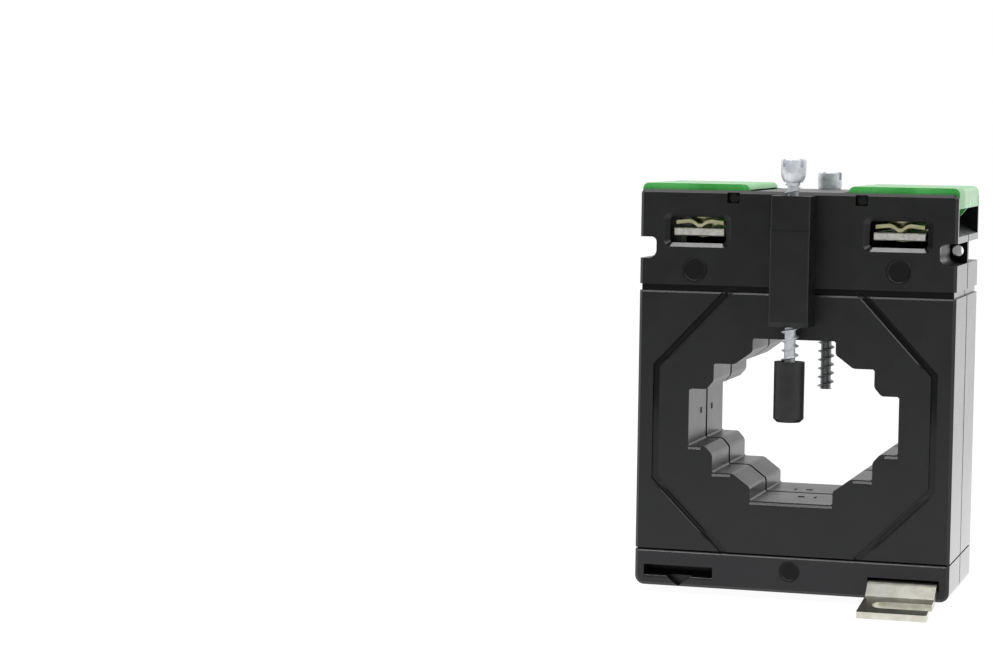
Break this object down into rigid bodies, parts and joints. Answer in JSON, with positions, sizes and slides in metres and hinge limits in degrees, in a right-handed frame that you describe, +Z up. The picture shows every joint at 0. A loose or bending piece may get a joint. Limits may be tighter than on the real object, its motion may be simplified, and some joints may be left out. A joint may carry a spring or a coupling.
{
  "type": "current transformer",
  "caption": "Moulded window-type current transformer with a stepped opening for busbars, clamp screws, mounting feet and hinged covers over its terminals.",
  "frame": {"origin": "middle of the base, level with the lowest edges of the mounting feet", "axes": "+Z up along the clamp screws; Y along the window and the conductor, with -Y out of the front face; +X to the right seen from the front"},
  "size_m": [0.096, 0.0922, 0.1332],
  "materials": {
    "housing": "fine textured black moulding",
    "cap": "smooth black moulding",
    "lid": "translucent green moulding",
    "zinc_steel": "bright zinc plated",
    "nickel_steel": "nickel plated sheet",
    "nickel_silver": "nickel plated brass",
    "brass": "bright brass",
    "brass_screw": "bright brass",
    "core_steel": "wound strip edges",
    "copper": "enamelled winding",
    "tape": "polyester tape",
    "lead_insulation": "smooth"
  },
  "bodies": {
    "housing": {"front_shell": "housing", "rear_shell": "housing", "ring_core": "core_steel", "secondary_winding": "copper", "winding_tape": "tape", "left_terminal_plate": "nickel_silver", "right_terminal_plate": "nickel_silver", "left_lead_wire": "lead_insulation", "right_lead_wire": "lead_insulation", "front_foot": "nickel_steel", "rear_foot": "nickel_steel"},
    "left_lid": {"left_lid": "lid"},
    "right_lid": {"right_lid": "lid"},
    "tip_cap": {"tip_cap": "cap"},
    "front_clamp_screw": {"front_clamp_screw": "zinc_steel"},
    "rear_clamp_screw": {"rear_clamp_screw": "zinc_steel"},
    "front_left_saddle_washer": {"front_left_saddle_washer": "brass"},
    "front_left_terminal_screw": {"front_left_terminal_screw": "brass_screw"},
    "front_right_saddle_washer": {"front_right_saddle_washer": "brass"},
    "front_right_terminal_screw": {"front_right_terminal_screw": "brass_screw"},
    "rear_left_saddle_washer": {"rear_left_saddle_washer": "brass"},
    "rear_left_terminal_screw": {"rear_left_terminal_screw": "brass_screw"},
    "rear_right_saddle_washer": {"rear_right_saddle_washer": "brass"},
    "rear_right_terminal_screw": {"rear_right_terminal_screw": "brass_screw"}
  },
  "joints": [
    {"name": "left_lid_hinge", "type": "hinge", "parent": "housing", "child": "left_lid", "pos_m": [-0.0194, 0, 0.12115], "axis": [0, 1, 0], "range_deg": [0, 100]},
    {"name": "right_lid_hinge", "type": "hinge", "parent": "housing", "child": "right_lid", "pos_m": [0.0194, 0, 0.12115], "axis": [0, -1, 0], "range_deg": [0, 100]},
    {"name": "front_clamp_travel", "type": "slide", "parent": "housing", "child": "tip_cap", "axis": [0, 0, 1], "range_m": [-0.0045, 0.0095]},
    {"name": "front_clamp_turn", "type": "hinge", "parent": "tip_cap", "child": "front_clamp_screw", "pos_m": [0, -0.0305, 0.0833], "axis": [0, 0, 1], "range_deg": [-600, 1260]},
    {"name": "rear_clamp_travel", "type": "slide", "parent": "housing", "child": "rear_clamp_screw", "axis": [0, 0, 1], "range_m": [0, 0.02]},
    {"name": "front_left_saddle_lift", "type": "slide", "parent": "housing", "child": "front_left_saddle_washer", "axis": [0, 0, 1], "range_m": [0, 0.003]},
    {"name": "front_left_screw_turn", "type": "hinge", "parent": "front_left_saddle_washer", "child": "front_left_terminal_screw", "pos_m": [-0.0304, -0.014, 0.1117], "axis": [0, 0, 1], "range_deg": [0, 1360]},
    {"name": "front_right_saddle_lift", "type": "slide", "parent": "housing", "child": "front_right_saddle_washer", "axis": [0, 0, 1], "range_m": [0, 0.003]},
    {"name": "front_right_screw_turn", "type": "hinge", "parent": "front_right_saddle_washer", "child": "front_right_terminal_screw", "pos_m": [0.0304, -0.014, 0.1117], "axis": [0, 0, 1], "range_deg": [0, 1360]},
    {"name": "rear_left_saddle_lift", "type": "slide", "parent": "housing", "child": "rear_left_saddle_washer", "axis": [0, 0, 1], "range_m": [0, 0.003]},
    {"name": "rear_left_screw_turn", "type": "hinge", "parent": "rear_left_saddle_washer", "child": "rear_left_terminal_screw", "pos_m": [-0.0304, 0.014, 0.1117], "axis": [0, 0, 1], "range_deg": [0, 1360]},
    {"name": "rear_right_saddle_lift", "type": "slide", "parent": "housing", "child": "rear_right_saddle_washer", "axis": [0, 0, 1], "range_m": [0, 0.003]},
    {"name": "rear_right_screw_turn", "type": "hinge", "parent": "rear_right_saddle_washer", "child": "rear_right_terminal_screw", "pos_m": [0.0304, 0.014, 0.1117], "axis": [0, 0, 1], "range_deg": [0, 1360]}
  ],
  "couplings": [
    {"joint": "front_clamp_turn", "follows": "front_clamp_travel", "rad_per_m": 2284.8},
    {"joint": "front_left_screw_turn", "follows": "front_left_saddle_lift", "rad_per_m": 7854},
    {"joint": "front_right_screw_turn", "follows": "front_right_saddle_lift", "rad_per_m": 7854},
    {"joint": "rear_left_screw_turn", "follows": "rear_left_saddle_lift", "rad_per_m": 7854},
    {"joint": "rear_right_screw_turn", "follows": "rear_right_saddle_lift", "rad_per_m": 7854}
  ]
}
